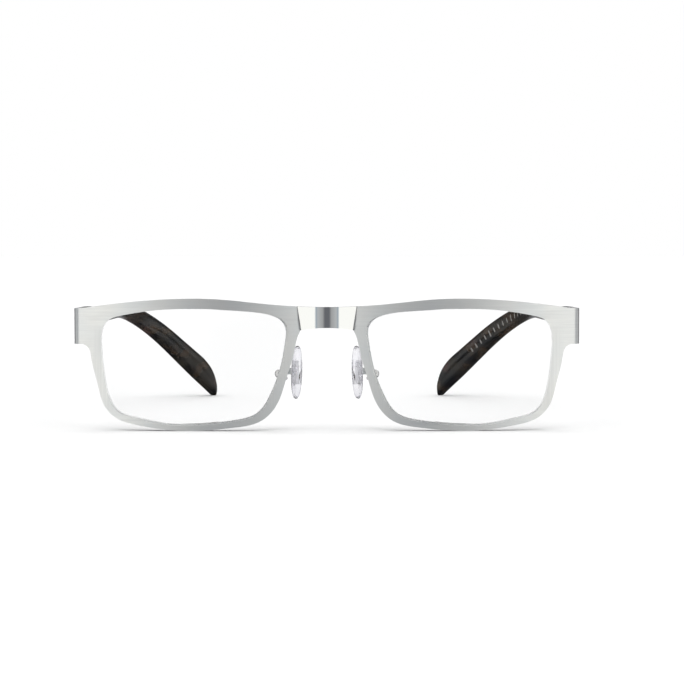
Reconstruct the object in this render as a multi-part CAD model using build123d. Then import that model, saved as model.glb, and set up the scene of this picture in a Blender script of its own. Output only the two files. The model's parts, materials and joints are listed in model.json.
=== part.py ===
from build123d import *

import os
from math import asin, cos, hypot, radians, sin, sqrt

# Full-rim metal eyeglasses: a stamped front in two halves with a polished bridge, rocking nose pads
# and folding temples. Millimetres, open for wear. +Z is up, the front faces -Y and the temples run
# back along +Y. "left" is the wearer's left, at +X. The origin lies on the resting surface, under the
# middle of the object's box. Each side piece is modelled on the left and mirrored for the right.

# ---- front: each eye of the sheet follows an upright cylinder ----
BASE_RADIUS = 130.0
EYE_AXIS_X = 31.0  # where each eye is furthest forward
SHEET = 1.0
TALL = (-6.0, 42.0)  # heights that pass everything on the front

# ---- lug: the sheet's outer end, bent back to carry the hinge ----
OUTER_X = 69.0
BEND_RADIUS = 2.4
LUG_END_Y = 12.0
LUG_BOTTOM_Z = 23.4
LUG_TOP_Z = 33.0
LUG_MID_Z = (LUG_BOTTOM_Z + LUG_TOP_Z) / 2

# ---- lens, and the grooved wire that holds it ----
WIRE_DEPTH = 1.9
WIRE_WIDTH = 1.0
WIRE_SHOWS_NASAL = 0.6  # how far the wire reaches into the sheet's opening
WIRE_SHOWS_BOTTOM = 0.3
GROOVE_DEPTH = 0.45
GROOVE_WIDTH = 0.8
GROOVE_INSET = SHEET + (WIRE_DEPTH - GROOVE_WIDTH) / 2
LENS_GAP = 0.05
LENS_SETBACK = 0.5
LENS_THICKNESS = 2.2
LENS_MID_X = 37.0
LENS_MID_Z = 17.4
RIDGE_OVERLAP = 1.0

# ---- rim lock: the split in the wire, its two blocks and their screw ----
LOCK_Z = 27.0
LOCK_SPLIT = 0.2
LOCK_HEIGHT = 2.2
LOCK_X = (61.9, 64.7)
LOCK_Y = (4.8, 7.7)
LOCK_SCREW = (63.4, 6.55)
LOCK_SCREW_RADIUS = 0.5
LOCK_BORE_RADIUS = 0.53
LOCK_HEAD_RADIUS = 0.85
LOCK_HEAD = 0.5
SLOT_SHARE = 0.3  # a driver slot's width, as a share of its head's radius

# ---- bridge ----
BRIDGE_RADIUS = 17.0
BRIDGE_THICKNESS = 1.7
BRIDGE_TOP_Z = 33.6
BRIDGE_BOTTOM_Z = 27.95

# ---- hinge: three knuckles on one upright screw ----
HINGE_X = OUTER_X - SHEET - 1.6
HINGE_Y = LUG_END_Y + 0.15
KNUCKLE_RADIUS = 1.45
KNUCKLE_CLEAR = 0.08
HINGE_HEIGHT = 7.0
MIDDLE_KNUCKLE = 2.4
WASHER_SLOT = 0.2
WASHER = 0.12
SCREW_RADIUS = 0.62
SCREW_HEAD_RADIUS = 1.1
BORE_RADIUS = 0.67
SCREW_HEAD = 0.45
LEAF = 0.8
FRONT_LEAF_START_Y = 7.9
TEMPLE_LEAF = (0.05, 6.5)  # from the bar's front end

# ---- temple, measured along its outer face from its front end ----
SPLAY_DEG = 2.95  # each temple leans in from square
BAR_START_Y = HINGE_Y + 0.1
BAR_TAPER_START = 12.0
BAR_TAPER_END = 46.0
BAR_LENGTH = 54.0
BAR_SMALL_HEIGHT = 3.0
TIP_START = 50.0
TIP_MIDDLE = 62.0
TIP_BEND = 73.2
TIP_END = 140.4
TIP_MID_Z = 29.5
TIP_HEIGHT = 4.2
TIP_END_HEIGHT = 7.8
TIP_THICKNESS = 3.0
TIP_END_THICKNESS = 3.3
TIP_CORNER = 0.42  # the section's corner radius, as a share of its thickness
TIP_DROP_DEG = 36.2  # how far the tip points down behind the ear
TIP_TURN_DEG = 40.0  # and how far it turns in towards the head
DROP_RUN = 42.6  # length over which the drop comes in
TURN_RUN = 38.4
END_ROUND = 1.5  # radius round the tip's end
CORE_HEIGHT = 1.8
CORE_THICKNESS = 0.9
CORE_SHORT_OF_END = 12.0
CORE_GAP = 0.05

# ---- nose pads: local x points away from the nose, y back along the pad and z up ----
PAD_PIVOT = (10.8, 9.0, 15.8)
PAD_SPLAY_DEG = 9.0  # the pads stand further apart at the back
PAD_TILT_DEG = 2.0
PAD_LENGTH = 14.6
PAD_WIDTH = 6.8
PAD_THICKNESS = 2.3
PAD_EDGE_RADIUS = 0.9
PAD_OFFSET = (-2.5, 0.0, -0.4)
PLATE_SIZE = (0.5, 3.6, 6.2)
TAB_SIZE = (1.5, 1.4)  # width and height
TAB_END_X = 0.7
CHEEK = 0.5
CHEEK_GAP = 0.1
BOX_HEIGHT = 1.8
BOX_FRONT_X = -0.8
BOX_BACK_X = 1.5
BOX_BACK_WALL = 0.45
PAD_SCREW_RADIUS = 0.42
PAD_BORE_RADIUS = 0.47
PAD_HEAD_RADIUS = 0.7
PAD_HEAD = 0.35
ARM_RADIUS = 0.5
ARM_BEND_RADIUS = 0.75
ARM_ROUTE = [(12.8, 3.7, 14.2), (10.9, 6.3, 13.9), (13.9, 8.2, 14.6)]  # from the rim towards the box

FRONT_PLANE = Plane(origin=(0, 0, 0), x_dir=(1, 0, 0), z_dir=(0, -1, 0))  # its x and y are X and Z

# ---------------------------------------------------------------- outlines, as (x, z) seen from the front

SEAM_TOP = (8.1, 33.75)
SEAM_BOTTOM = (7.1, 27.3)
BROW = [SEAM_TOP, (20.0, 34.75), (29.0, 35.65), (38.5, 35.85), (52.0, 35.05), (66.0, 33.3)]
UNDERSIDE = [
    (66.6, LUG_BOTTOM_Z), (64.95, 22.35), (64.15, 19.5), (62.5, 12.8), (60.95, 7.5), (58.05, 3.9),
    (51.5, 1.55), (37.5, 0.0), (25.5, 0.9), (17.7, 2.8), (13.65, 7.0), (11.2, 13.6), (8.95, 21.3),
    (8.05, 25.2), SEAM_BOTTOM,
]
OPENING = [  # its first point is its highest
    (38.5, 33.1), (48.0, 32.55), (56.2, 31.15), (59.7, 29.7), (60.95, 27.5), (61.3, 22.5),
    (60.4, 14.0), (59.1, 8.5), (57.0, 5.25), (51.5, 3.2), (45.0, 1.85), (36.0, 1.5), (25.5, 2.5),
    (18.2, 4.9), (15.2, 9.2), (12.1, 17.4), (10.75, 24.5), (10.8, 28.2), (12.2, 30.1), (15.6, 31.55),
    (22.0, 32.4), (30.0, 32.93),
]


def aperture():
    """The opening as the wire leaves it: smaller towards the nose and along the bottom."""
    nose_side = min(x for x, _ in OPENING)
    lowest = min(z for _, z in OPENING)
    points = []
    for x, z in OPENING:
        nasal = max(0.0, (LENS_MID_X - x) / (LENS_MID_X - nose_side))
        low = max(0.0, (LENS_MID_Z - z) / (LENS_MID_Z - lowest))
        points.append((x + WIRE_SHOWS_NASAL * nasal, z + WIRE_SHOWS_BOTTOM * low))
    return points


def grown(points, by):
    """A closed outline with each point moved outwards by a distance."""
    moved = []
    for i, (x, z) in enumerate(points):
        before, after = points[i - 1], points[(i + 1) % len(points)]
        run, rise = after[0] - before[0], after[1] - before[1]
        length = hypot(run, rise)
        moved.append((x - rise / length * by, z + run / length * by))
    return moved


def face_of(edges):
    """A face in the front plane from edges given as (x, z)."""
    return FRONT_PLANE * Face(Wire(edges))


def loop(points):
    """A face in the front plane inside a smooth closed outline that starts at its highest point."""
    ahead = Vector(1, 0)
    closed = [Vector(*point) for point in (*points, points[0])]
    return face_of([Edge.make_spline(closed, tangents=[ahead, ahead])])


def through(face, depth=20.0):
    """A face in the front plane as a straight prism that runs from y = -2 back."""
    return extrude(face.moved(Location((0, -2, 0))), depth, dir=(0, 1, 0))


def block(x_range, y_range, z_range):
    sizes = [high - low for low, high in (x_range, y_range, z_range)]
    middle = [(high + low) / 2 for low, high in (x_range, y_range, z_range)]
    return Pos(*middle) * Box(*sizes)


def upright(radius, x, y, z_range):
    """An upright cylinder."""
    low, high = z_range
    return Pos(x, y, (low + high) / 2) * Cylinder(radius, high - low)


def base_wall(inset, thickness):
    """The part of the eye's cylinder wall that lies inset behind the sheet's front surface."""
    outer = upright(BASE_RADIUS - inset, EYE_AXIS_X, BASE_RADIUS, TALL)
    inner = upright(BASE_RADIUS - inset - thickness, EYE_AXIS_X, BASE_RADIUS, TALL)
    return outer - inner


# ---------------------------------------------------------------- front


def sheet_outline():
    """The blank of one eye and its lug, before bending."""
    past_end = OUTER_X + 1.0
    corners = [BROW[-1], (past_end, LUG_TOP_Z), (past_end, LUG_BOTTOM_Z), UNDERSIDE[0]]
    return [
        Edge.make_spline([Vector(*point) for point in BROW]),
        *[Edge.make_line(a, b) for a, b in zip(corners, corners[1:])],
        Edge.make_spline([Vector(*point) for point in UNDERSIDE]),
        Edge.make_line(SEAM_BOTTOM, SEAM_TOP),
    ]


def bent_strip():
    """The sheet's section from above, curved to the eye and bent back at the lug, made tall."""
    bend_x = OUTER_X - BEND_RADIUS
    lean = asin((bend_x - EYE_AXIS_X) / (BASE_RADIUS - BEND_RADIUS))
    bend_y = BASE_RADIUS - (BASE_RADIUS - BEND_RADIUS) * cos(lean)
    half_turn = (radians(90) + lean) / 2
    nose_x = 5.0

    def skin(inset):
        radius, bend = BASE_RADIUS - inset, BEND_RADIUS - inset
        start = (nose_x, BASE_RADIUS - sqrt(radius**2 - (nose_x - EYE_AXIS_X) ** 2))
        join = (EYE_AXIS_X + radius * sin(lean), BASE_RADIUS - radius * cos(lean))
        mid_bend = (bend_x + bend * sin(half_turn), bend_y - bend * cos(half_turn))
        side = (bend_x + bend, bend_y)
        end = (bend_x + bend, LUG_END_Y)
        edges = [
            Edge.make_three_point_arc(start, (EYE_AXIS_X, inset), join),
            Edge.make_three_point_arc(join, mid_bend, side),
            Edge.make_line(side, end),
        ]
        return start, edges, end

    outer_start, outer, outer_end = skin(0.0)
    inner_start, inner, inner_end = skin(SHEET)
    ends = [Edge.make_line(outer_end, inner_end), Edge.make_line(inner_start, outer_start)]
    low, high = TALL
    return Pos(0, 0, low) * extrude(Face(Wire(outer + inner + ends)), high - low, dir=(0, 0, 1))


def front_plate():
    return through(face_of(sheet_outline()) - loop(OPENING)) & bent_strip()


def eyewire():
    """A grooved ring behind the sheet, split where the lock closes it."""
    ring = loop(grown(aperture(), WIRE_WIDTH)) - loop(aperture())
    groove = through(loop(grown(aperture(), GROOVE_DEPTH))) & base_wall(GROOVE_INSET, GROOVE_WIDTH)
    gap = (LOCK_Z - LOCK_SPLIT / 2, LOCK_Z + LOCK_SPLIT / 2)
    split = block((LENS_MID_X, OUTER_X), (0, LUG_END_Y), gap)
    return (through(ring) & base_wall(SHEET, WIRE_DEPTH)) - groove - split


def lens():
    """A meniscus with a ridge round its edge that sits in the wire's groove."""
    centre = Pos(EYE_AXIS_X, LENS_SETBACK + BASE_RADIUS, LENS_MID_Z)
    meniscus = centre * (Sphere(BASE_RADIUS) - Sphere(BASE_RADIUS - LENS_THICKNESS))
    body = through(loop(grown(aperture(), -LENS_GAP))) & meniscus
    rim = loop(grown(aperture(), GROOVE_DEPTH - LENS_GAP)) - loop(grown(aperture(), -RIDGE_OVERLAP))
    ridge = through(rim) & base_wall(GROOVE_INSET + LENS_GAP, GROOVE_WIDTH - 2 * LENS_GAP)
    return body + ridge


def lock_blocks(wire, plate):
    """The blocks above and below the split, brazed to the wire's two ends."""
    pair = []
    for step in (-1, 1):
        near = LOCK_Z + step * LOCK_SPLIT / 2
        z_range = sorted((near, near + step * LOCK_HEIGHT))
        pair.append(block(LOCK_X, LOCK_Y, z_range))
    bore = upright(LOCK_BORE_RADIUS, *LOCK_SCREW, TALL)
    return Compound([solid for lump in pair for solid in (lump - wire - plate - bore).solids()])


def slotted_screw(radius, head_radius, length, head):
    """A screw along +Z with its head's top at z = 0 and a driver slot across it."""
    body = upright(head_radius, 0, 0, (-head, 0)) + upright(radius, 0, 0, (-length, -head))
    return body - Box(3 * head_radius, SLOT_SHARE * head_radius, head)


def lock_screw():
    bottom = LOCK_Z - LOCK_SPLIT / 2 - LOCK_HEIGHT
    length = 2 * LOCK_HEIGHT + LOCK_SPLIT + LOCK_HEAD
    screw = slotted_screw(LOCK_SCREW_RADIUS, LOCK_HEAD_RADIUS, length, LOCK_HEAD)
    return Pos(*LOCK_SCREW, bottom - LOCK_HEAD) * Rot(X=180) * screw


def bridge():
    """A polished arch between the two eyes, thicker than the sheet."""
    (top_x, top_z), (bottom_x, bottom_z) = SEAM_TOP, SEAM_BOTTOM
    outline = [
        Edge.make_line((-bottom_x, bottom_z), (-top_x, top_z)),
        Edge.make_three_point_arc((-top_x, top_z), (0, BRIDGE_TOP_Z), (top_x, top_z)),
        Edge.make_line((top_x, top_z), (bottom_x, bottom_z)),
        Edge.make_three_point_arc((bottom_x, bottom_z), (0, BRIDGE_BOTTOM_Z), (-bottom_x, bottom_z)),
    ]
    outer = upright(BRIDGE_RADIUS, 0, BRIDGE_RADIUS, TALL)
    inner = upright(BRIDGE_RADIUS - BRIDGE_THICKNESS, 0, BRIDGE_RADIUS, TALL)
    return through(face_of(outline), LUG_END_Y) & (outer - inner)


# ---------------------------------------------------------------- nose pads


def at_pad(shape):
    """Place something modelled about the pad's pivot."""
    return Location(PAD_PIVOT, (0, 0, -PAD_SPLAY_DEG)) * shape


def pad_bore():
    return Rot(X=90) * Cylinder(PAD_BORE_RADIUS, 2 * PAD_WIDTH)


def pad_insert():
    """The stiff plate inside the pad, with the tab that the pad screw holds."""
    plate_x, plate_y, plate_z = PLATE_SIZE
    tab_width, tab_height = TAB_SIZE
    plate = Pos(*PAD_OFFSET) * Box(plate_x, plate_y, plate_z)
    tab_end = (TAB_END_X + PAD_OFFSET[0]) / 2
    tab = Pos(tab_end, 0, 0) * Box(TAB_END_X - PAD_OFFSET[0], tab_width, tab_height)
    return plate + tab - pad_bore()


def nose_pad():
    """A soft oval pad, moulded round the insert's plate."""
    blank = extrude(Plane.YZ * Ellipse(PAD_WIDTH / 2, PAD_LENGTH / 2), PAD_THICKNESS / 2, both=True)
    oval = fillet(blank.edges(), PAD_EDGE_RADIUS)
    return Pos(*PAD_OFFSET) * Rot(Y=-PAD_TILT_DEG) * oval - pad_insert()


def pad_box():
    """A small open box whose two cheeks hold the tab."""
    inside = TAB_SIZE[0] / 2 + CHEEK_GAP
    outside = inside + CHEEK
    shell = block((BOX_FRONT_X, BOX_BACK_X), (-outside, outside), (-BOX_HEIGHT / 2, BOX_HEIGHT / 2))
    hollow_x = (2 * BOX_FRONT_X, BOX_BACK_X - BOX_BACK_WALL)
    hollow = block(hollow_x, (-inside, inside), (-BOX_HEIGHT, BOX_HEIGHT))
    return shell - hollow - pad_bore()


def pad_screw():
    outside = TAB_SIZE[0] / 2 + CHEEK_GAP + CHEEK
    screw = slotted_screw(PAD_SCREW_RADIUS, PAD_HEAD_RADIUS, 2 * outside + PAD_HEAD, PAD_HEAD)
    return Rot(X=-90) * Pos(0, 0, outside + PAD_HEAD) * screw


def pad_arm(wire, plate):
    """A round wire brazed to the rim that loops in under the pad and out again to the box's back."""
    end = tuple(at_pad(Location((BOX_BACK_X, 0, 0))).position)
    before_end = tuple(at_pad(Location((BOX_BACK_X + 2 * ARM_BEND_RADIUS, 0, 0))).position)
    path = FilletPolyline(*ARM_ROUTE, before_end, end, radius=ARM_BEND_RADIUS)
    section = Plane(origin=path @ 0, z_dir=path % 0) * Circle(ARM_RADIUS)
    return sweep(section, path=path) - wire - plate


# ---------------------------------------------------------------- hinge


def knuckle_levels():
    """Heights of the lower, middle and upper knuckles."""
    low, high = LUG_MID_Z - HINGE_HEIGHT / 2, LUG_MID_Z + HINGE_HEIGHT / 2
    middle = (LUG_MID_Z - MIDDLE_KNUCKLE / 2, LUG_MID_Z + MIDDLE_KNUCKLE / 2)
    return (low, middle[0] - WASHER_SLOT), middle, (middle[1] + WASHER_SLOT, high)


def around_hinge(radius, z_range):
    return upright(radius, HINGE_X, HINGE_Y, z_range)


def hinge_front():
    """The leaf inside the lug, with the lower and upper knuckles."""
    lower, middle, upper = knuckle_levels()
    inside = OUTER_X - SHEET
    leaf = block((inside - LEAF, inside), (FRONT_LEAF_START_Y, LUG_END_Y), (lower[0], upper[1]))
    room = around_hinge(KNUCKLE_RADIUS + KNUCKLE_CLEAR, (lower[1], upper[0]))
    knuckles = around_hinge(KNUCKLE_RADIUS, lower) + around_hinge(KNUCKLE_RADIUS, upper)
    return (leaf - room) + knuckles - around_hinge(BORE_RADIUS, TALL)


def hinge_temple():
    """The leaf inside the temple bar, with the middle knuckle."""
    lower, middle, upper = knuckle_levels()
    leaf = at_temple(block((-SHEET - LEAF, -SHEET), TEMPLE_LEAF, (lower[0], upper[1])))
    room = around_hinge(KNUCKLE_RADIUS + KNUCKLE_CLEAR, (TALL[0], middle[0]))
    room += around_hinge(KNUCKLE_RADIUS + KNUCKLE_CLEAR, (middle[1], TALL[1]))
    return (leaf - room) + around_hinge(KNUCKLE_RADIUS, middle) - around_hinge(BORE_RADIUS, TALL)


def hinge_washers():
    rings = []
    for below, above in zip(knuckle_levels(), knuckle_levels()[1:]):
        middle = (below[1] + above[0]) / 2
        level = (middle - WASHER / 2, middle + WASHER / 2)
        ring = around_hinge(KNUCKLE_RADIUS - 0.1, level) - around_hinge(BORE_RADIUS, level)
        rings += ring.solids()
    return Compound(rings)


def hinge_screw():
    screw = slotted_screw(SCREW_RADIUS, SCREW_HEAD_RADIUS, HINGE_HEIGHT + 1.3 * SCREW_HEAD, SCREW_HEAD)
    return Pos(HINGE_X, HINGE_Y, LUG_MID_Z + HINGE_HEIGHT / 2 + SCREW_HEAD) * screw


# ---------------------------------------------------------------- temple


def at_temple(shape):
    """Place something modelled with the temple's outer face on x = 0 and its front end on y = 0."""
    return Location((OUTER_X, BAR_START_Y, 0), (0, 0, SPLAY_DEG)) * shape


def temple_bar():
    """A flat bar, as high as the lug at the hinge and slim where it enters the ear tip."""
    small_top = TIP_MID_Z + BAR_SMALL_HEIGHT / 2
    small_bottom = TIP_MID_Z - BAR_SMALL_HEIGHT / 2
    along = Vector(1, 0)
    top = Edge.make_spline(
        [Vector(BAR_TAPER_START, LUG_TOP_Z), Vector(BAR_TAPER_END, small_top)], tangents=[along, along]
    )
    bottom = Edge.make_spline(
        [Vector(BAR_TAPER_END, small_bottom), Vector(BAR_TAPER_START, LUG_BOTTOM_Z)],
        tangents=[-along, -along],
    )
    back = [(BAR_TAPER_END, small_top), (BAR_LENGTH, small_top), (BAR_LENGTH, small_bottom),
            (BAR_TAPER_END, small_bottom)]
    front = [(BAR_TAPER_START, LUG_BOTTOM_Z), (0, LUG_BOTTOM_Z), (0, LUG_TOP_Z),
             (BAR_TAPER_START, LUG_TOP_Z)]
    lines = [Edge.make_line(a, b) for side in (back, front) for a, b in zip(side, side[1:])]
    return extrude(Plane.YZ * Face(Wire([top, bottom, *lines])), SHEET, dir=(-1, 0, 0))


def eased(share):
    share = min(max(share, 0.0), 1.0)
    return share * share * (3 - 2 * share)


def centreline(stations, step=0.02):
    """Planes across the temple at the given distances along its middle line."""
    point, run, planes = Vector(-SHEET / 2, TIP_START, TIP_MID_Z), TIP_START, []
    for station in stations:
        while True:
            turn = radians(TIP_TURN_DEG) * eased((run - TIP_BEND) / TURN_RUN)
            drop = radians(TIP_DROP_DEG) * eased((run - TIP_BEND) / DROP_RUN)
            ahead = Vector(-sin(turn) * cos(drop), cos(turn) * cos(drop), -sin(drop))
            if run >= station - step / 2:
                break
            point, run = point + ahead * step, run + step
        across = Vector(cos(turn), sin(turn), 0)
        planes.append(Plane(origin=point, x_dir=across, z_dir=ahead))
    return planes


def bend_stations(end):
    """Distances that follow the ear bend closely and the straight stretches loosely."""
    bend = [TIP_BEND + share * DROP_RUN for share in (0, 0.25, 0.5, 0.75, 1.0)]
    return [station for station in bend if station < end - 3] + [(bend[-1] + end) / 2, end]


def temple_tip():
    """A rounded tip that grows towards its end, with a channel for the bar's end and the core."""
    rounding = [TIP_END - END_ROUND * share for share in (0.55, 0.25, 0.06)]
    stations = [TIP_START, TIP_MIDDLE, *bend_stations(TIP_END - END_ROUND), *rounding]
    sections = []
    for station, plane in zip(stations, centreline(stations)):
        share = max(0.0, (station - TIP_BEND) / (TIP_END - TIP_BEND))
        into_end = max(0.0, station - (TIP_END - END_ROUND))
        drawn_in = END_ROUND - sqrt(END_ROUND**2 - into_end**2)
        height = TIP_HEIGHT + (TIP_END_HEIGHT - TIP_HEIGHT) * share - 2 * drawn_in
        thickness = TIP_THICKNESS + (TIP_END_THICKNESS - TIP_THICKNESS) * share - 2 * drawn_in
        sections.append(plane * RectangleRounded(thickness, height, TIP_CORNER * thickness))
    socket = block(
        (-SHEET - CORE_GAP, CORE_GAP),
        (TIP_START - 1, BAR_LENGTH + CORE_GAP),
        (TIP_MID_Z - BAR_SMALL_HEIGHT / 2 - CORE_GAP, TIP_MID_Z + BAR_SMALL_HEIGHT / 2 + CORE_GAP),
    )
    return loft(sections) - socket - core_wire(CORE_GAP)


def core_wire(grow=0.0):
    """The stiffening wire that runs on from the bar inside the tip."""
    end = TIP_END - CORE_SHORT_OF_END + grow
    stations = [BAR_LENGTH, TIP_MIDDLE, *bend_stations(end)]
    height, thickness = CORE_HEIGHT + 2 * grow, CORE_THICKNESS + 2 * grow
    return loft([plane * Rectangle(thickness, height) for plane in centreline(stations)])


# ---------------------------------------------------------------- assembly


def left_pieces():
    plate, wire = front_plate(), eyewire()
    return {
        "front_plate": plate,
        "eyewire": wire,
        "lens": lens(),
        "lock_blocks": lock_blocks(wire, plate),
        "lock_screw": lock_screw(),
        "pad_arm": pad_arm(wire, plate),
        "pad_box": at_pad(pad_box()),
        "pad_screw": at_pad(pad_screw()),
        "pad_insert": at_pad(pad_insert()),
        "nose_pad": at_pad(nose_pad()),
        "hinge_front": hinge_front(),
        "hinge_temple": hinge_temple(),
        "hinge_washers": hinge_washers(),
        "hinge_screw": hinge_screw(),
        "temple_bar": at_temple(temple_bar()),
        "temple_core": at_temple(core_wire()),
        "temple_tip": at_temple(temple_tip()),
    }


def all_pieces():
    pieces = {"bridge": bridge()}
    for name, shape in left_pieces().items():
        pieces[f"{name}_left"] = shape
        pieces[f"{name}_right"] = mirror(shape, about=Plane.YZ)
    return pieces


if __name__ == "__main__":
    os.makedirs("parts", exist_ok=True)
    pieces = all_pieces()
    back = max(shape.bounding_box().max.Y for shape in pieces.values())
    for name, shape in pieces.items():
        export_step(Pos(0, -back / 2, 0) * shape, f"parts/{name}.step")
    print(f"{len(pieces)} pieces, {back:.3f} mm deep")
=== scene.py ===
"""Looks for a pair of metal eyeglasses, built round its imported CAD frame. Metres, as the frame."""

import json
from math import atan2, cos, pi, radians, sin

import bmesh
import bpy
from mathutils import Matrix, Vector


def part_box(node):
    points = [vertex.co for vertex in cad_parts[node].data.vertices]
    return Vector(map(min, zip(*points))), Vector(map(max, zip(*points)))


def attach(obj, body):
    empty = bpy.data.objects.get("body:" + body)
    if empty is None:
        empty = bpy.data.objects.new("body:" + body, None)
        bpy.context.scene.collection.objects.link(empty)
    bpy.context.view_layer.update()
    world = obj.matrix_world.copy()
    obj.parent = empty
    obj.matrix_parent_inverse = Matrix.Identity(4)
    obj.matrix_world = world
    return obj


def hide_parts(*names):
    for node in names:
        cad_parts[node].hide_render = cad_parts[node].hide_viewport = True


MM = 0.001
SIDES = {"left": 1, "right": -1}

# ---- camera: a long lens a little above the table, aimed just off the middle of the front ----
CAMERA_DISTANCE = 600 * MM  # from the front of the rims
CAMERA_HEIGHT = 54 * MM
CAMERA_LENS = 117.0
AIM_X = 4.05 * MM
AIM_Z = 24.18 * MM

# ---- studio ----
STAGE_RADIUS = 4.0
FLOOR_COLOUR = (0.9, 0.9, 0.9, 1)
SUN_STRENGTH = 1.0
SUN_ANGLE = radians(75.0)

# What the metal reflects: degrees from straight ahead of the front, and the colour there.
AHEAD_MIDDLE = (0.145, 0.15, 0.165)
AHEAD_EDGE = (0.15, 0.155, 0.17)
NEAR_GREY = (0.38, 0.385, 0.39)
FAR_GREY = (0.5, 0.52, 0.53)
BLUE_GREY = (0.36, 0.42, 0.48)
MAIN_BOX = (1.1, 1.1, 1.06)
GAP = (0.16, 0.18, 0.21)
SIDE_BOX = (0.66, 0.67, 0.66)
BACK_CORNER = (0.12, 0.12, 0.13)
BEHIND = (0.3, 0.3, 0.31)
SURROUNDINGS = (
    (0, AHEAD_MIDDLE),
    (4.2, AHEAD_EDGE),
    (8, NEAR_GREY),
    (17, FAR_GREY),
    (20.5, BLUE_GREY),
    (23, MAIN_BOX),
    (58, MAIN_BOX),
    (66, GAP),
    (80, GAP),
    (88, SIDE_BOX),
    (106, SIDE_BOX),
    (118, BACK_CORNER),
    (155, BACK_CORNER),
    (180, BEHIND),
)
OVERHEAD = (1.1, 1.1, 1.1, 1)
OVERHEAD_FROM, OVERHEAD_FULL = 0.45, 0.75  # heights on a ball of radius 1
UNDERNEATH = (0.07, 0.07, 0.075, 1)
UNDERNEATH_FROM, UNDERNEATH_FULL = -0.3, -0.55

# ---- where the front's grain turns from upright, on the sides, to level ----
GRAIN_BOTTOM = (3 * MM, 8 * MM)
GRAIN_BROW = (24 * MM, 30 * MM)
GRAIN_LUG = (62.5 * MM, 65 * MM)

# ---- nose pads ----
PAD_HALF_SIZE = (1.4 * MM, 3.4 * MM, 7.3 * MM)
PAD_TILT = radians(2)
PAD_FULLNESS = 2.6  # 2 is an oval, and more is squarer
PAD_TAPER = 0.1  # how much narrower the top is than the bottom
PAD_RINGS = 20
PAD_SEGMENTS = 48

# ---- ear tips, measured as the temples are: from the front end of the bar's outer face ----
TEMPLE_X = 69.0 * MM
TEMPLE_Y = 12.25 * MM  # behind the front of the rims
SPLAY = radians(2.95)
HALF_BAR = 0.5 * MM  # of the bar's thickness
TIP_START = 50.0 * MM
TIP_BEND = 73.2 * MM
TIP_END = 140.4 * MM
TIP_MID_Z = 29.5 * MM
TIP_HEIGHTS = (4.2 * MM, 7.8 * MM)  # up to the bend, and where the cut starts
TIP_THICKNESSES = (3.0 * MM, 3.3 * MM)
TIP_DROP = radians(35.9)
TIP_TURN = radians(40.0)
DROP_RUN = 42.6 * MM
TURN_RUN = 38.4 * MM
TIP_RINGS = 90
RING_POINTS = 48
WIDE_SQUARENESS = 1.0  # of the rounded section: 1 is an oval and 0 a sharp rectangle
TALL_SQUARENESS = 0.7

# ---- the upright cut across the end of each tip ----
CUT_START = 13.0 * MM  # from the end, along the lower edge, to where the upper edge starts to drop
CUT_CORNER_BACK = 5.7 * MM  # the corner that the upper edge curves round, from the end
CUT_FACE_BACK = 3.0 * MM  # the top of the upright face, from the end and below the upper edge
CUT_FACE_DROP = 3.9 * MM
CUT_STEPS = 24
END_ROUND = 1.0 * MM
END_ROUND_STEPS = 3  # the last of the cut's steps, which make way for the rounding
END_ROUND_TURNS = tuple(radians(turn) for turn in (10, 25, 40, 55, 70, 90))

# ---- the row of fine ribs on the inner face of the left tip ----
TICK_FIRST = 84.0 * MM
TICK_STEP = 2.4 * MM
TICK_COUNT = 15
TICK_HEIGHT = 1.5 * MM
TICK_WIDTH = 0.4 * MM
TICK_PROUD = 0.06 * MM
TALL_TICK = 1.4  # times the height of the others
TALL_TICK_EVERY = 5
TICK_LAYERS = ((-0.1, 1.0), (0.6, 1.0), (0.9, 0.6))  # shares of the proud height, and of the outline

# ---- seams beside the bridge ----
SEAM_TOP = (8.1 * MM, 33.75 * MM)  # x and z
SEAM_BOTTOM = (7.1 * MM, 27.3 * MM)
SEAM_RADIUS = 0.13 * MM
SEAM_RINGS = 12
SEAM_POINTS = 12
SEAM_UNEVEN = 0.15  # of the radius
SEAM_WAVE = 5.0  # radians from end to end
BRIDGE_RADIUS = 17.0 * MM

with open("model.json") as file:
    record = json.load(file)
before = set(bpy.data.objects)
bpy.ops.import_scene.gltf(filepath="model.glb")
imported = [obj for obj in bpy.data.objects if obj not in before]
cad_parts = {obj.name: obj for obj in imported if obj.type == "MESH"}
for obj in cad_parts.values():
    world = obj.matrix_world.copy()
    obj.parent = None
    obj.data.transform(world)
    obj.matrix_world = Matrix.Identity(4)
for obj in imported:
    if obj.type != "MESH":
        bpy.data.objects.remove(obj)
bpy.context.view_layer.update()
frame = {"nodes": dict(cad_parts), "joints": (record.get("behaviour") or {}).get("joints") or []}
nodes = frame["nodes"]
joints = {joint["name"]: joint for joint in frame["joints"]}
front_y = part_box("front_plate_left")[0].y


# ---------------------------------------------------------------- shader helpers

COLOUR_A, COLOUR_B, COLOUR_RESULT = 6, 7, 2  # a Mix node's sockets when it mixes colours


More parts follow.
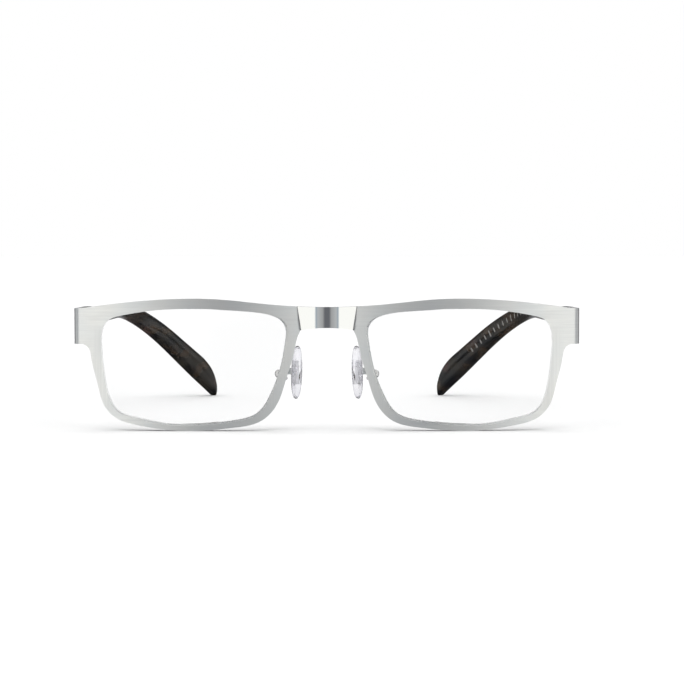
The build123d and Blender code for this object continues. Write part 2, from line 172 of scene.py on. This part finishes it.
class Graph:
    """A cleared node tree, with short calls for the nodes it is built from."""

    def __init__(self, tree):
        self.nodes = tree.nodes
        self.links = tree.links
        self.nodes.clear()

    def link(self, value, socket):
        """Gives a socket what another socket puts out, or a fixed value."""
        if isinstance(value, bpy.types.NodeSocket):
            self.links.new(value, socket)
        else:
            socket.default_value = value

    def math(self, operation, *values):
        node = self.nodes.new("ShaderNodeMath")
        node.operation = operation
        for socket, value in zip(node.inputs, values):
            self.link(value, socket)
        return node.outputs[0]

    def remap(self, value, low, high, to_low=0.0, to_high=1.0):
        """value from low..high to to_low..to_high, eased at both ends."""
        node = self.nodes.new("ShaderNodeMapRange")
        node.interpolation_type = "SMOOTHSTEP"
        for label, number in (("From Min", low), ("From Max", high), ("To Min", to_low), ("To Max", to_high)):
            node.inputs[label].default_value = number
        self.link(value, node.inputs["Value"])
        return node.outputs["Result"]

    def mix(self, factor, a, b):
        """A colour between a and b."""
        node = self.nodes.new("ShaderNodeMix")
        node.data_type = "RGBA"
        self.link(factor, node.inputs["Factor"])
        self.link(a, node.inputs[COLOUR_A])
        self.link(b, node.inputs[COLOUR_B])
        return node.outputs[COLOUR_RESULT]

    def blend(self, factor, a, b):
        """A number between a and b."""
        node = self.nodes.new("ShaderNodeMix")
        self.link(factor, node.inputs["Factor"])
        self.link(a, node.inputs["A"])
        self.link(b, node.inputs["B"])
        return node.outputs["Result"]

    def axes(self, vector):
        node = self.nodes.new("ShaderNodeSeparateXYZ")
        self.links.new(vector, node.inputs["Vector"])
        return node.outputs


class Shader(Graph):
    """A material with one Principled shader. Settings are its input labels, with underscores."""

    def __init__(self, name, **settings):
        self.material = bpy.data.materials.new(name)
        self.material.use_nodes = True
        super().__init__(self.material.node_tree)
        self.bsdf = self.nodes.new("ShaderNodeBsdfPrincipled")
        output = self.nodes.new("ShaderNodeOutputMaterial")
        self.links.new(self.bsdf.outputs["BSDF"], output.inputs["Surface"])
        self.place = self.nodes.new("ShaderNodeTexCoord").outputs["Object"]
        for label, value in settings.items():
            self.feed(label.replace("_", " ").title().replace("Ior", "IOR"), value)

    def feed(self, label, value):
        self.link(value, self.bsdf.inputs[label])

    def noise(self, stretch, detail=3.0, roughness=0.5, seed=0.0):
        """Noise with a number of cells per metre along each axis."""
        mapping = self.nodes.new("ShaderNodeMapping")
        mapping.inputs["Scale"].default_value = stretch
        mapping.inputs["Location"].default_value = (seed, seed, seed)
        self.links.new(self.place, mapping.inputs["Vector"])
        noise = self.nodes.new("ShaderNodeTexNoise")
        noise.inputs["Scale"].default_value = 1.0
        noise.inputs["Detail"].default_value = detail
        noise.inputs["Roughness"].default_value = roughness
        self.links.new(mapping.outputs["Vector"], noise.inputs["Vector"])
        return noise.outputs["Fac"]

    def bump(self, height, distance):
        """Relief that is distance deep where height is 1."""
        node = self.nodes.new("ShaderNodeBump")
        node.inputs["Distance"].default_value = distance
        node.inputs["Strength"].default_value = 1.0
        self.link(height, node.inputs["Height"])
        self.feed("Normal", node.outputs["Normal"])


# ---------------------------------------------------------------- materials


def brushed_front():
    """Brushed steel whose grain runs along the rim: level on the brow, the bottom and the lug, and
    upright on the sides."""
    shader = Shader("brushed_front", metallic=1.0)
    x, _, z = shader.axes(shader.place)
    level = shader.noise((45, 300, 2600), detail=4)
    upright = shader.noise((2600, 300, 45), detail=4)
    above_bottom = shader.remap(z, *GRAIN_BOTTOM)
    below_brow = shader.remap(z, *GRAIN_BROW, 1, 0)
    inside_lug = shader.remap(shader.math("ABSOLUTE", x), *GRAIN_LUG, 1, 0)
    side = shader.math("MULTIPLY", shader.math("MULTIPLY", above_bottom, below_brow), inside_lug)
    grain = shader.blend(side, level, upright)
    cloud = shader.noise((60, 60, 60), detail=2, seed=3.0)
    cool, warm, streak = (0.88, 0.895, 0.9, 1), (0.92, 0.915, 0.9, 1), (0.68, 0.69, 0.7, 1)
    tint = shader.mix(shader.remap(cloud, 0.35, 0.65), cool, warm)
    shader.feed("Base Color", shader.mix(shader.remap(grain, 0.3, 0.7, 0.0, 0.2), tint, streak))
    shader.feed("Roughness", shader.remap(grain, 0.25, 0.75, 0.34, 0.43))
    shader.bump(grain, 0.0012 * MM)
    return shader.material


def brushed_temple():
    """Brushed steel with its grain along the temple."""
    shader = Shader("brushed_temple", metallic=1.0)
    grain = shader.noise((2600, 40, 2600), detail=4)
    light, dark = (0.79, 0.79, 0.785, 1), (0.6, 0.6, 0.61, 1)
    shader.feed("Base Color", shader.mix(shader.remap(grain, 0.3, 0.7, 0, 0.35), light, dark))
    shader.feed("Roughness", shader.remap(grain, 0.25, 0.75, 0.24, 0.4))
    shader.bump(grain, 0.004 * MM)
    return shader.material


def polished(name, colour, low, high):
    """Metal between two roughnesses, with faint fine marks."""
    shader = Shader(name, metallic=1.0, base_color=colour)
    marks = shader.noise((900, 900, 300), detail=5, roughness=0.7)
    shader.feed("Roughness", shader.remap(marks, 0.4, 0.7, low, high))
    return shader.material


def acetate():
    """Polished near-black acetate, mottled olive, with brown and rosy patches."""
    shader = Shader("acetate", ior=1.46, coat_weight=0.2, coat_roughness=0.05)
    cloud = shader.noise((130, 70, 130), detail=3, roughness=0.6)
    fleck = shader.noise((210, 110, 210), detail=2, seed=7.0)
    rosy = shader.noise((90, 45, 90), detail=1, seed=11.0)
    base = shader.mix(shader.remap(cloud, 0.38, 0.62), (0.002, 0.002, 0.003, 1), (0.02, 0.016, 0.011, 1))
    base = shader.mix(shader.remap(fleck, 0.5, 0.66), base, (0.035, 0.023, 0.014, 1))
    base = shader.mix(shader.remap(rosy, 0.56, 0.7), base, (0.055, 0.033, 0.03, 1))
    shader.feed("Base Color", base)
    shader.feed("Roughness", shader.remap(cloud, 0.3, 0.7, 0.1, 0.2))
    return shader.material


def lens_plastic():
    """Clear lens, faintly grey, that reflects as little as a coated one does."""
    shader = Shader("lens_clear", transmission_weight=1.0, ior=1.12, roughness=0.0, specular_ior_level=0.08)
    haze = shader.noise((25, 25, 25), detail=1)
    greyer, clearer = (0.925, 0.926, 0.928, 1), (0.965, 0.966, 0.967, 1)
    shader.feed("Base Color", shader.mix(shader.remap(haze, 0.3, 0.7), greyer, clearer))
    return shader.material


def silicone():
    """Clear silicone, a little cloudy, with painted shade that makes its colour greyer where it is seen edge
    on.
    """
    shader = Shader("clear_silicone", transmission_weight=1.0, ior=1.38)
    cloud = shader.noise((300, 300, 300), detail=3)
    clear = shader.mix(shader.remap(cloud, 0.35, 0.65), (0.9, 0.9, 0.94, 1), (0.98, 0.975, 0.99, 1))
    # Painted shade: the Facing of this Layer Weight blends the colour towards a darker grey where the pad is
    # seen edge on.
    edge = shader.nodes.new("ShaderNodeLayerWeight")
    edge.inputs["Blend"].default_value = 0.3
    shader.feed("Base Color", shader.mix(edge.outputs["Facing"], clear, (0.5, 0.5, 0.56, 1)))
    shader.feed("Roughness", shader.remap(cloud, 0.3, 0.7, 0.05, 0.14))
    shader.bump(cloud, 0.01 * MM)
    return shader.material


def plain_plastic(name, colour, transmission=0.0):
    """Moulded plastic of one colour, with a slight cloud in it."""
    shader = Shader(name, transmission_weight=transmission)
    cloud = shader.noise((500, 500, 500), detail=2)
    darker = tuple(0.85 * channel for channel in colour[:3]) + (1,)
    shader.feed("Base Color", shader.mix(cloud, colour, darker))
    shader.feed("Roughness", shader.remap(cloud, 0.3, 0.7, 0.25, 0.4))
    return shader.material


ACETATE = acetate()
SILICONE = silicone()
TICK = plain_plastic("pale_ticks", (0.3, 0.29, 0.28, 1))
SEAM = polished("braze_seam", (0.3, 0.3, 0.31, 1), 0.3, 0.45)
WIRE = polished("wire_steel", (0.72, 0.72, 0.71, 1), 0.12, 0.22)
SCREW = polished("screw_steel", (0.62, 0.62, 0.62, 1), 0.08, 0.2)
FINISHES = {
    "front_plate": brushed_front(),
    "temple_bar": brushed_temple(),
    "bridge": polished("polished_bridge", (0.87, 0.875, 0.87, 1), 0.02, 0.07),
    "eyewire": polished("satin_wire", (0.93, 0.93, 0.92, 1), 0.26, 0.34),
    "lens": lens_plastic(),
    "pad_insert": plain_plastic("insert_plastic", (0.95, 0.95, 0.97, 1), 0.85),
    "hinge_washers": plain_plastic("washer_nylon", (0.8, 0.8, 0.78, 1)),
}
for kind in ("lock_blocks", "pad_arm", "pad_box", "hinge_front", "hinge_temple", "temple_core"):
    FINISHES[kind] = WIRE
for kind in ("lock_screw", "pad_screw", "hinge_screw"):
    FINISHES[kind] = SCREW

for name, node in nodes.items():
    kind = name.removesuffix("_left").removesuffix("_right")
    if kind in FINISHES:
        for slot in node.material_slots:
            slot.material = FINISHES[kind]
for side in SIDES:
    nodes[f"lens_{side}"].visible_shadow = False


# ---------------------------------------------------------------- mesh helpers


def skin(made, rings, capped=True):
    """Adds to made the surface through a row of rings, with a face over each end if capped."""
    rows = [[made.verts.new(point) for point in ring] for ring in rings]
    for near, far in zip(rows, rows[1:]):
        for i in range(len(near)):
            after = (i + 1) % len(near)
            made.faces.new((near[i], near[after], far[after], far[i]))
    if capped:
        made.faces.new(rows[0])
        made.faces.new(rows[-1])


def place(made, matrix):
    """Moves all of made by a matrix, and turns its faces outwards."""
    bmesh.ops.transform(made, matrix=matrix, verts=made.verts)
    bmesh.ops.recalc_face_normals(made, faces=made.faces)


def finish_mesh(made, name, material, smooth=True):
    """An object of one material, made from a bmesh, which is freed."""
    mesh = bpy.data.meshes.new(name)
    made.to_mesh(mesh)
    made.free()
    mesh.polygons.foreach_set("use_smooth", [smooth] * len(mesh.polygons))
    mesh.materials.append(material)
    piece = bpy.data.objects.new(name, mesh)
    bpy.context.scene.collection.objects.link(piece)
    return piece


# ---------------------------------------------------------------- nose pads


def pebble(half_x, half_y, half_z):
    """A pad: an oval with flattened faces and a soft edge, fuller at the bottom."""
    rings = []
    for ring in range(PAD_RINGS + 1):
        across = -cos(pi * ring / PAD_RINGS)
        reach = max(0.0, 1 - abs(across) ** PAD_FULLNESS) ** (1 / PAD_FULLNESS)
        points = []
        for step in range(PAD_SEGMENTS):
            turn = 2 * pi * step / PAD_SEGMENTS
            y, z = cos(turn), sin(turn)
            waist = 1 - PAD_TAPER * (z + 1) / 2
            points.append((half_x * across, half_y * reach * y * waist, half_z * reach * z))
        rings.append(points)
    made = bmesh.new()
    skin(made, rings, capped=False)
    bmesh.ops.remove_doubles(made, verts=made.verts, dist=1e-7)
    return made


def nose_pad(side):
    """The clear moulded pad, in the place of its plain solid."""
    axis = Vector(joints[f"pad_rock_{side}"]["axis"])
    low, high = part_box(f"nose_pad_{side}")
    made = pebble(*PAD_HALF_SIZE)
    splay = Matrix.Rotation(-atan2(axis.x, axis.y), 4, "Z")
    tilt = Matrix.Rotation(-PAD_TILT * SIDES[side], 4, "Y")
    place(made, Matrix.Translation((low + high) / 2) @ splay @ tilt)
    piece = finish_mesh(made, f"clear_pad_{side}", SILICONE)
    piece.visible_shadow = False
    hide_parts(f"nose_pad_{side}")
    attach(piece, f"pad_{side}")


# ---------------------------------------------------------------- ear tips


def eased(share):
    """0 to 1 as share goes from 0 to 1, slow at both ends."""
    share = min(max(share, 0.0), 1.0)
    return share * share * (3 - 2 * share)


def between(pair, share):
    return pair[0] + (pair[1] - pair[0]) * share


def signed_power(value, power):
    return abs(value) ** power * (1 if value > 0 else -1)


def tip_planes(stations, step=0.1 * MM):
    """The tip's middle line at each distance, as a point with its ahead, across and up directions."""
    point = Vector((-HALF_BAR, TIP_START, TIP_MID_Z))
    run = TIP_START
    planes = []
    for station in stations:
        while True:
            turn = TIP_TURN * eased((run - TIP_BEND) / TURN_RUN)
            drop = TIP_DROP * eased((run - TIP_BEND) / DROP_RUN)
            ahead = Vector((-sin(turn) * cos(drop), cos(turn) * cos(drop), -sin(drop)))
            if run >= station - step / 2:
                break
            point = point + ahead * step
            run = run + step
        across = Vector((cos(turn), sin(turn), 0))
        planes.append((point.copy(), ahead, across, across.cross(ahead)))
    return planes


def share_along(station):
    """How far a station is from the bend to the cut: 0 before the bend and 1 at the cut."""
    return max(0.0, (station - TIP_BEND) / (TIP_END - CUT_START - TIP_BEND))


def section(low, high, across, thickness):
    """A ring of points round a rounded bar section whose lower and upper edges are given."""
    middle = (low + high) / 2
    up = (high - low) / 2
    points = []
    for step in range(RING_POINTS):
        turn = 2 * pi * step / RING_POINTS
        wide = signed_power(cos(turn), WIDE_SQUARENESS)
        tall = signed_power(sin(turn), TALL_SQUARENESS)
        points.append(middle + across * (wide * thickness / 2) + up * tall)
    return points


def bar_rings():
    """Rings from the tip's open end to where the cut starts."""
    length = TIP_END - CUT_START - TIP_START
    stations = [TIP_START + length * i / TIP_RINGS for i in range(TIP_RINGS + 1)]
    rings = []
    for station, (point, _, across, up) in zip(stations, tip_planes(stations)):
        share = share_along(station)
        edge = up * between(TIP_HEIGHTS, share) / 2
        rings.append(section(point - edge, point + edge, across, between(TIP_THICKNESSES, share)))
    return rings


def cut_rings():
    """Rings over the cut, whose upper edge curves down to the end's upright face, and its rounding."""
    point, ahead, across, up = tip_planes([TIP_END - CUT_START])[0]
    half = TIP_HEIGHTS[1] / 2
    face_top = (CUT_START - CUT_FACE_BACK, half - CUT_FACE_DROP)
    curve = ((0, half), (CUT_START - CUT_CORNER_BACK, half), face_top)
    shares = [i / CUT_STEPS for i in range(1, CUT_STEPS + 1 - END_ROUND_STEPS)]
    shares += [1 - END_ROUND * (1 - sin(turn)) / CUT_START for turn in END_ROUND_TURNS]
    rings = []
    for share in shares:
        weights = ((1 - share) ** 2, 2 * share * (1 - share), share**2)
        along, height = [sum(weight * spot[i] for weight, spot in zip(weights, curve)) for i in (0, 1)]
        into = max(0.0, END_ROUND - CUT_START * (1 - share))
        drawn_in = END_ROUND - (END_ROUND**2 - min(into, END_ROUND) ** 2) ** 0.5
        high = point + ahead * along + up * height
        low = point + ahead * CUT_START * share - up * half
        inset = (high - low).normalized() * drawn_in
        rings.append(section(low + inset, high - inset, across, TIP_THICKNESSES[1] - 2 * drawn_in))
    return rings


def to_temple(side):
    """From the temple's own frame to the world."""
    left = Matrix.Translation((TEMPLE_X, front_y + TEMPLE_Y, 0)) @ Matrix.Rotation(SPLAY, 4, "Z")
    return Matrix.Diagonal((SIDES[side], 1, 1, 1)) @ left


def ear_tip(side):
    """The dark tip with its upright-cut end, in the place of its plain solid."""
    made = bmesh.new()
    skin(made, bar_rings() + cut_rings())
    place(made, to_temple(side))
    piece = finish_mesh(made, f"ear_tip_{side}", ACETATE)
    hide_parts(f"temple_tip_{side}")
    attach(piece, f"temple_{side}")


def tick_marks():
    """Short pale ribs across the inner face of the left tip."""
    made = bmesh.new()
    stations = [TICK_FIRST + TICK_STEP * i for i in range(TICK_COUNT)]
    corners = ((-1, -1), (1, -1), (1, 1), (-1, 1))
    for i, (point, ahead, across, up) in enumerate(tip_planes(stations)):
        surface = between(TIP_THICKNESSES, share_along(stations[i])) / 2
        height = TICK_HEIGHT * (TALL_TICK if i % TALL_TICK_EVERY == 0 else 1.0)
        rings = []
        for proud, outline in TICK_LAYERS:
            middle = point - across * (surface + TICK_PROUD * proud)
            half_width = ahead * (outline * TICK_WIDTH / 2)
            half_height = up * (outline * height / 2)
            rings.append([middle + half_width * a + half_height * b for a, b in corners])
        skin(made, rings)
    place(made, to_temple("left"))
    piece = finish_mesh(made, "tick_marks_left", TICK, smooth=False)
    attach(piece, "temple_left")


# ---------------------------------------------------------------- seams beside the bridge


def seam(side):
    """The fine bead where the bridge is brazed to the sheet."""
    rings = []
    turns = [2 * pi * i / SEAM_POINTS for i in range(SEAM_POINTS)]
    for step in range(SEAM_RINGS + 1):
        share = step / SEAM_RINGS
        x = between((SEAM_BOTTOM[0], SEAM_TOP[0]), share)
        z = between((SEAM_BOTTOM[1], SEAM_TOP[1]), share)
        y = front_y + BRIDGE_RADIUS - (BRIDGE_RADIUS**2 - x**2) ** 0.5
        swell = SEAM_RADIUS * (1 - SEAM_UNEVEN + SEAM_UNEVEN * sin(SEAM_WAVE * share))
        rings.append([Vector((SIDES[side] * (x + swell * cos(t)), y + swell * sin(t), z)) for t in turns])
    made = bmesh.new()
    skin(made, rings)
    bmesh.ops.recalc_face_normals(made, faces=made.faces)
    piece = finish_mesh(made, f"braze_seam_{side}", SEAM)
    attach(piece, "front")


for side in SIDES:
    nose_pad(side)
for side in SIDES:
    ear_tip(side)
    seam(side)
tick_marks()


# ---------------------------------------------------------------- stage, lights and camera


def glowing(name, colour, strength):
    """A material that only gives out light."""
    material = bpy.data.materials.new(name)
    material.use_nodes = True
    graph = Graph(material.node_tree)
    light = graph.nodes.new("ShaderNodeEmission")
    graph.link(colour, light.inputs["Color"])
    graph.link(strength, light.inputs["Strength"])
    output = graph.nodes.new("ShaderNodeOutputMaterial")
    graph.link(light.outputs["Emission"], output.inputs["Surface"])
    return material


def make_stage():
    """A pale floor, and a white surround that only the camera and the lenses see."""
    made = bmesh.new()
    bmesh.ops.create_circle(made, cap_ends=True, radius=STAGE_RADIUS, segments=96)
    matt = Shader("pale_floor", base_color=FLOOR_COLOUR, roughness=1.0, specular_ior_level=0.0)
    floor = finish_mesh(made, "floor", matt.material, smooth=False)
    floor.visible_glossy = False
    made = bmesh.new()
    bmesh.ops.create_uvsphere(made, u_segments=48, v_segments=24, radius=STAGE_RADIUS)
    surround = finish_mesh(made, "surround", glowing("white_surround", (1, 1, 1, 1), 1.0))
    surround.visible_diffuse = False
    surround.visible_glossy = False
    surround.visible_shadow = False


def make_world():
    """Soft boxes at both sides and overhead, with dark gaps between them, for the metal to reflect."""
    world = bpy.data.worlds.new("studio")
    bpy.context.scene.world = world
    world.use_nodes = True
    graph = Graph(world.node_tree)
    x, y, z = graph.axes(graph.nodes.new("ShaderNodeTexCoord").outputs["Generated"])
    aside = graph.math("ABSOLUTE", x)
    ahead = graph.math("MULTIPLY", y, -1.0)
    ramp = graph.nodes.new("ShaderNodeValToRGB")
    graph.link(graph.math("DIVIDE", graph.math("ARCTAN2", aside, ahead), pi), ramp.inputs["Fac"])
    elements = ramp.color_ramp.elements
    while len(elements) < len(SURROUNDINGS):
        elements.new(1.0)
    for element, (degrees, colour) in zip(elements, SURROUNDINGS):
        element.position = degrees / 180
        element.color = (*colour, 1)
    over = graph.remap(z, OVERHEAD_FROM, OVERHEAD_FULL)
    under = graph.remap(z, UNDERNEATH_FROM, UNDERNEATH_FULL)
    light = graph.mix(under, graph.mix(over, ramp.outputs["Color"], OVERHEAD), UNDERNEATH)
    background = graph.nodes.new("ShaderNodeBackground")
    graph.link(light, background.inputs["Color"])
    output = graph.nodes.new("ShaderNodeOutputWorld")
    graph.link(background.outputs["Background"], output.inputs["Surface"])


def make_lights():
    """One wide, soft light from straight above, which the metal does not show."""
    light = bpy.data.lights.new("soft_overhead", "SUN")
    light.energy = SUN_STRENGTH
    light.angle = SUN_ANGLE
    lamp = bpy.data.objects.new("soft_overhead", light)
    lamp.visible_glossy = False
    bpy.context.scene.collection.objects.link(lamp)


def make_camera():
    camera = bpy.data.objects.new("camera", bpy.data.cameras.new("camera"))
    camera.data.lens = CAMERA_LENS
    camera.location = (0, front_y - CAMERA_DISTANCE, CAMERA_HEIGHT)
    aim = Vector((AIM_X, front_y, AIM_Z))
    camera.rotation_euler = (aim - camera.location).to_track_quat("-Z", "Y").to_euler()
    bpy.context.scene.collection.objects.link(camera)
    bpy.context.scene.camera = camera


make_stage()
make_world()
make_lights()
make_camera()
bpy.context.scene.view_settings.view_transform = "Standard"
